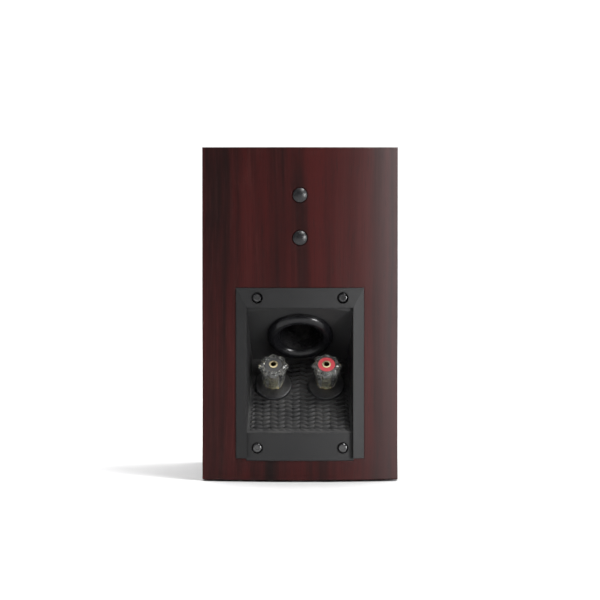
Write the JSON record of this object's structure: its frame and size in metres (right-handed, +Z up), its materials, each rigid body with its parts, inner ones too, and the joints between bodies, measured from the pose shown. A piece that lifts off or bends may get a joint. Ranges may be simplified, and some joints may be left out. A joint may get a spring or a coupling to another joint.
{
  "type": "bookshelf speaker",
  "caption": "Compact two-way bookshelf speaker with a dark rosewood cabinet, curved back, and a moulded rear recess holding a reflex port and two clear-capped binding posts.",
  "frame": {"origin": "on the floor under the middle of the whole object's box", "axes": "+Z up, the front baffle faces -Y, the curved back with the terminal recess faces +Y"},
  "size_m": [0.147, 0.2225, 0.2512],
  "materials": {
    "rosewood_veneer": "satin",
    "black_satin": "satin",
    "raw_board": "raw",
    "foot_rubber": "matte",
    "black_plastic": "matte",
    "panel_plastic": "fine texture",
    "black_foam": "open cell",
    "black_steel": "black oxide",
    "port_plastic": "satin",
    "zinc_steel": "zinc plated",
    "plug_rubber": "satin",
    "post_black": "gloss",
    "gold_plate": "plated",
    "clear_cap": "clear smoky",
    "ring_red": "gloss",
    "ring_black": "gloss",
    "cast_frame": "black coat",
    "surround_rubber": "satin",
    "cone_paper": "coated",
    "former_metal": "plain",
    "copper": "enamelled wire",
    "spider_cloth": "varnished weave",
    "ferrite": "ground",
    "faceplate_black": "satin",
    "dome_silk": "doped",
    "circuit_board": "solder mask",
    "capacitor_film": "wrapped film",
    "ceramic_white": "plain",
    "lead_sleeve": "insulated"
  },
  "bodies": {
    "cabinet": {"back_panel": "rosewood_veneer", "side_panel_left": "rosewood_veneer", "side_panel_right": "rosewood_veneer", "top_panel": "rosewood_veneer", "bottom_panel": "rosewood_veneer", "front_baffle": "black_satin", "brace": "raw_board", "feet": "foot_rubber", "grille_sockets": "black_plastic", "terminal_panel": "panel_plastic", "terminal_gasket": "black_foam", "terminal_screws": "black_steel", "port_flare": "port_plastic", "port_tube": "port_plastic", "bracket_inserts": "zinc_steel", "red_post_base": "post_black", "red_post_stem": "gold_plate", "red_post_hardware": "zinc_steel", "black_post_base": "post_black", "black_post_stem": "gold_plate", "black_post_hardware": "zinc_steel", "woofer_basket": "cast_frame", "woofer_gasket": "black_foam", "woofer_trim_ring": "black_plastic", "woofer_surround": "surround_rubber", "woofer_spider": "spider_cloth", "woofer_top_plate": "zinc_steel", "woofer_magnet": "ferrite", "woofer_yoke": "zinc_steel", "woofer_terminal": "black_plastic", "driver_screws": "black_steel", "woofer_frame_ring": "cast_frame", "tweeter_faceplate": "faceplate_black", "tweeter_surround": "dome_silk", "tweeter_magnet": "ferrite", "tweeter_motor": "zinc_steel", "tweeter_rear_cup": "black_plastic", "tweeter_terminals": "gold_plate", "crossover_board": "circuit_board", "crossover_coils": "copper", "crossover_capacitors": "capacitor_film", "crossover_resistors": "ceramic_white", "foam_panels": "black_foam", "leads": "lead_sleeve"},
    "woofer_cone": {"woofer_cone": "cone_paper", "woofer_dust_cap": "cone_paper", "woofer_coil_former": "former_metal", "woofer_winding": "copper"},
    "tweeter_dome": {"tweeter_dome": "dome_silk", "tweeter_voice_coil": "copper"},
    "upper_plug": {"insert_plug_upper": "plug_rubber"},
    "lower_plug": {"insert_plug_lower": "plug_rubber"},
    "red_clamp": {"red_clamp_washer": "gold_plate"},
    "red_knob": {"red_knob_core": "gold_plate", "red_knob_ring": "ring_red", "red_knob_shell": "clear_cap"},
    "black_clamp": {"black_clamp_washer": "gold_plate"},
    "black_knob": {"black_knob_core": "gold_plate", "black_knob_ring": "ring_black", "black_knob_shell": "clear_cap"}
  },
  "joints": [
    {"name": "red_clamp_slide", "type": "slide", "parent": "cabinet", "child": "red_clamp", "axis": [0, 0.7792, 0.6268], "range_m": [0, 0.00625]},
    {"name": "red_knob_turn", "type": "hinge", "parent": "red_clamp", "child": "red_knob", "pos_m": [-0.02, 0.07879, 0.07318], "axis": [0, 0.7792, 0.6268], "range_deg": [0, 1800]},
    {"name": "black_clamp_slide", "type": "slide", "parent": "cabinet", "child": "black_clamp", "axis": [0, 0.7792, 0.6268], "range_m": [0, 0.00625]},
    {"name": "black_knob_turn", "type": "hinge", "parent": "black_clamp", "child": "black_knob", "pos_m": [0.02, 0.07879, 0.07318], "axis": [0, 0.7792, 0.6268], "range_deg": [0, 1800]},
    {"name": "upper_plug_pull", "type": "slide", "parent": "cabinet", "child": "upper_plug", "axis": [0, 1, 0], "range_m": [0, 0.03]},
    {"name": "lower_plug_pull", "type": "slide", "parent": "cabinet", "child": "lower_plug", "axis": [0, 1, 0], "range_m": [0, 0.03]},
    {"name": "cone_travel", "type": "slide", "parent": "cabinet", "child": "woofer_cone", "axis": [0, -1, 0], "range_m": [-0.004, 0.004], "stiffness_N_per_m": 1500, "deforming": ["woofer_surround", "woofer_spider"]},
    {"name": "dome_travel", "type": "slide", "parent": "cabinet", "child": "tweeter_dome", "axis": [0, -1, 0], "range_m": [-0.0003, 0.0003], "stiffness_N_per_m": 2500, "deforming": ["tweeter_surround"]}
  ],
  "couplings": [
    {"joint": "red_knob_turn", "follows": "red_clamp_slide", "rad_per_m": 5026.5},
    {"joint": "black_knob_turn", "follows": "black_clamp_slide", "rad_per_m": 5026.5}
  ]
}
